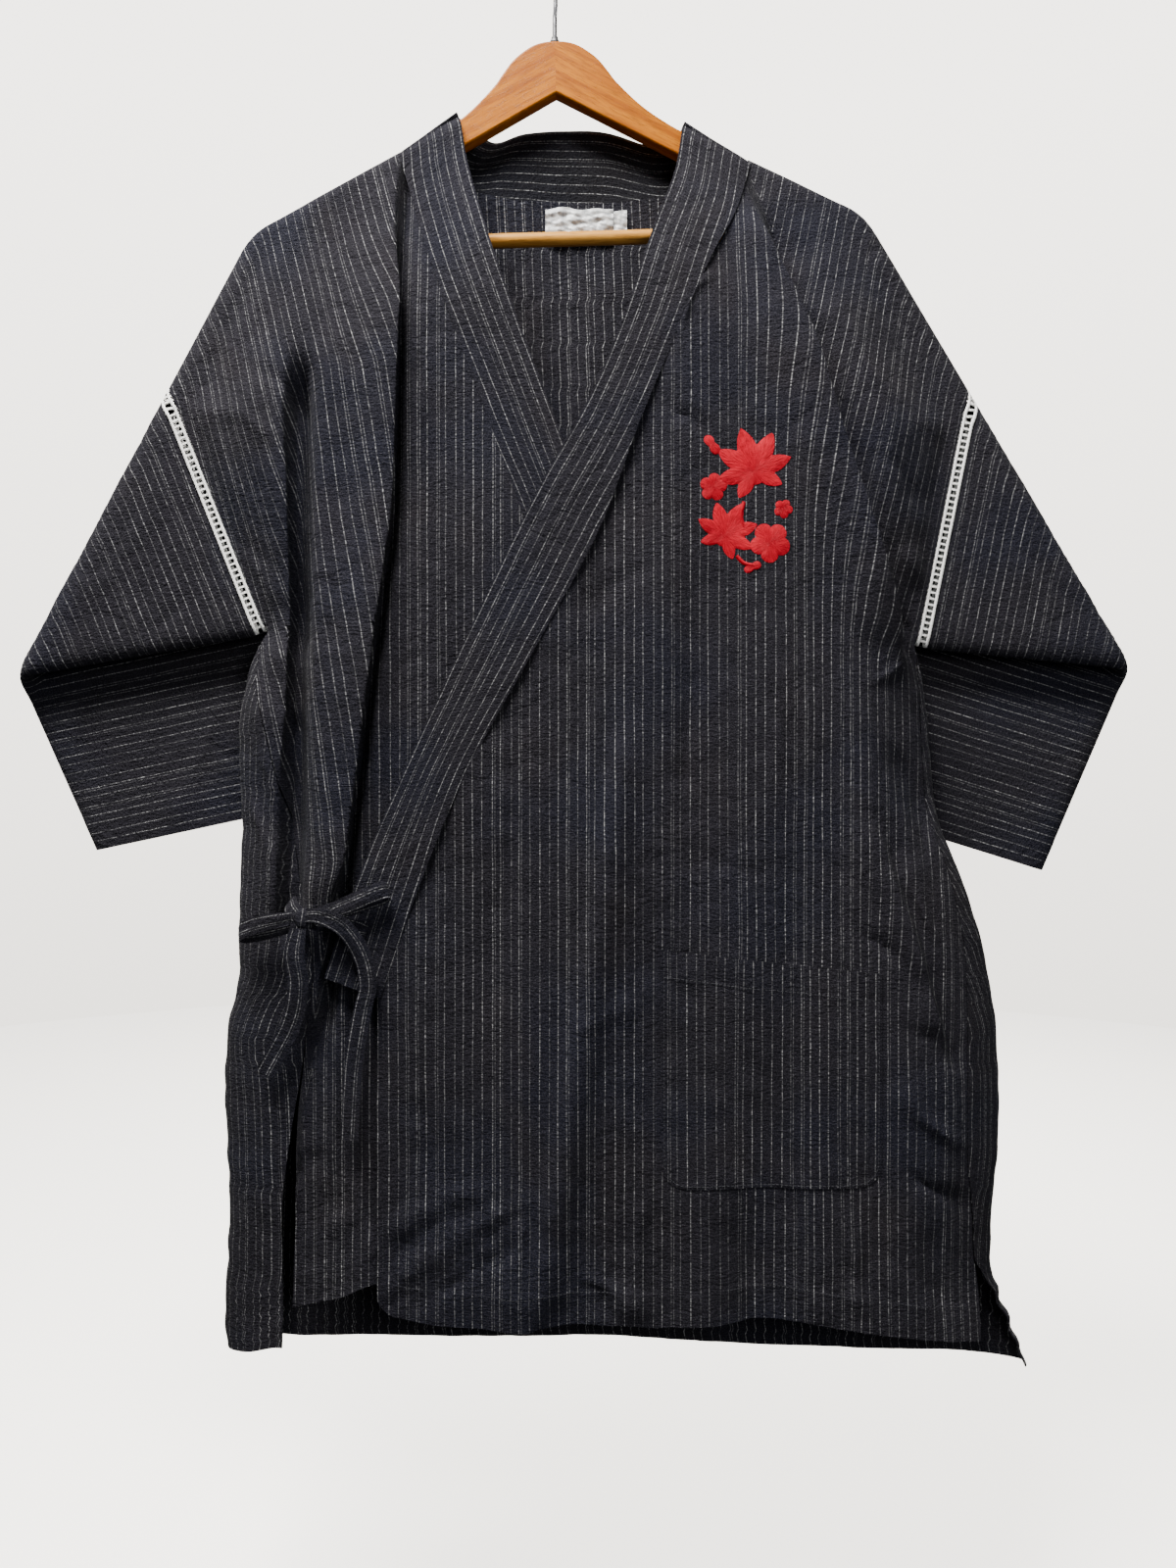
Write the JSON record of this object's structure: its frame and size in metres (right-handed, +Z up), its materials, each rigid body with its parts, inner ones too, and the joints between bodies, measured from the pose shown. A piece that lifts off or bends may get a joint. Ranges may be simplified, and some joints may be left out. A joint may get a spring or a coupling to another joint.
{
  "type": "jinbei kimono jacket on a wooden hanger",
  "caption": "Short wrap-front cotton kimono jacket with a band collar, lace-joined half sleeves, a hip pocket and a side bow, hung on a wooden hanger.",
  "frame": {"origin": "the top of the inside of the hanger's hook, where a rail or nail carries it", "axes": "+X to the viewer's right across the jacket, +Y from the jacket's front towards its back, +Z up along the hook"},
  "size_m": [0.8006, 0.0738, 1.0062],
  "materials": {
    "striped_cotton": "charcoal crinkled cotton with fine grey pinstripes",
    "lace": "off-white cotton ladder lace",
    "label": "white satin label, blank",
    "embroidery": "crimson satin-stitch embroidery",
    "hanger_wood": "honey-coloured satin varnished wood",
    "bar_wood": "pale plain wooden dowel",
    "hook_steel": "bright plated steel wire"
  },
  "bodies": {
    "root": {"back_body": "striped_cotton", "front_right": "striped_cotton", "front_left": "striped_cotton", "collar": "striped_cotton", "pocket": "striped_cotton", "sleeve_right": "striped_cotton", "sleeve_left": "striped_cotton", "lace_right": "lace", "lace_left": "lace", "tie_front_root": "striped_cotton", "tie_side_root": "striped_cotton", "tie_loop_left": "striped_cotton", "tie_loop_right": "striped_cotton", "tie_tail_left": "striped_cotton", "tie_tail_right": "striped_cotton", "tie_knot": "striped_cotton", "neck_label": "label", "size_label": "label", "hanger_arm_right": "hanger_wood", "hanger_arm_left": "hanger_wood", "hanger_bar": "bar_wood", "hanger_hook": "hook_steel"}
  },
  "joints": []
}
